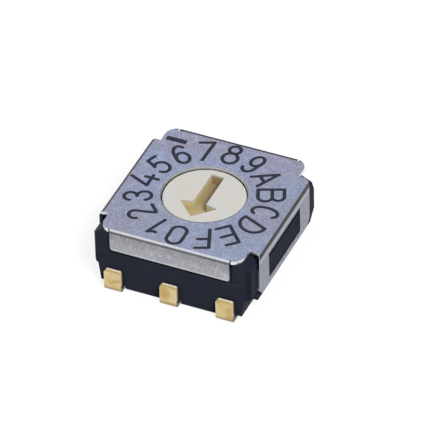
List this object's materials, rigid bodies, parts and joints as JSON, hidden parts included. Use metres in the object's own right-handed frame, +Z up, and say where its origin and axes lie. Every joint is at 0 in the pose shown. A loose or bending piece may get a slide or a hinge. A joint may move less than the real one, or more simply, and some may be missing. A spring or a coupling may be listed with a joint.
{
  "type": "rotary coded switch",
  "caption": "Surface-mount rotary coded switch: folded steel cover over a black moulded housing, cream rotor with an arrow-shaped driver recess, and short gold hooked leads front and rear.",
  "frame": {"origin": "middle of the footprint at board level, on the plane of the lead feet", "axes": "+Z up out of the board and along the rotor's axis; -Y towards the leads nearest to dial position 0; +X to the right seen from there"},
  "size_m": [0.0072, 0.0078, 0.0031],
  "materials": {
    "housing_resin": "moulded, fine matt grain",
    "cover_steel": "satin stainless sheet",
    "rotor_resin": "moulded, satin",
    "lead_gold": "gold-plated",
    "contact_gold": "gold-plated",
    "spring_steel": "bright rolled",
    "seal_rubber": "silicone rubber"
  },
  "bodies": {
    "base": {"housing": "housing_resin", "cover": "cover_steel", "o_ring": "seal_rubber", "click_spring_left": "spring_steel", "click_spring_right": "spring_steel", "terminal_common": "lead_gold", "terminal_1": "lead_gold", "terminal_2": "lead_gold", "terminal_4": "lead_gold", "terminal_8": "lead_gold", "contact_common": "contact_gold", "contact_1": "contact_gold", "contact_2": "contact_gold", "contact_4": "contact_gold", "contact_8": "contact_gold"},
    "dial": {"rotor": "rotor_resin", "code_plate": "contact_gold"}
  },
  "joints": [
    {"name": "rotor_turn", "type": "hinge", "parent": "base", "child": "dial", "pos_m": [0, 0, 0.00302], "axis": [0, 0, 1], "continuous": true, "deforming": ["click_spring_left", "click_spring_right"]}
  ]
}
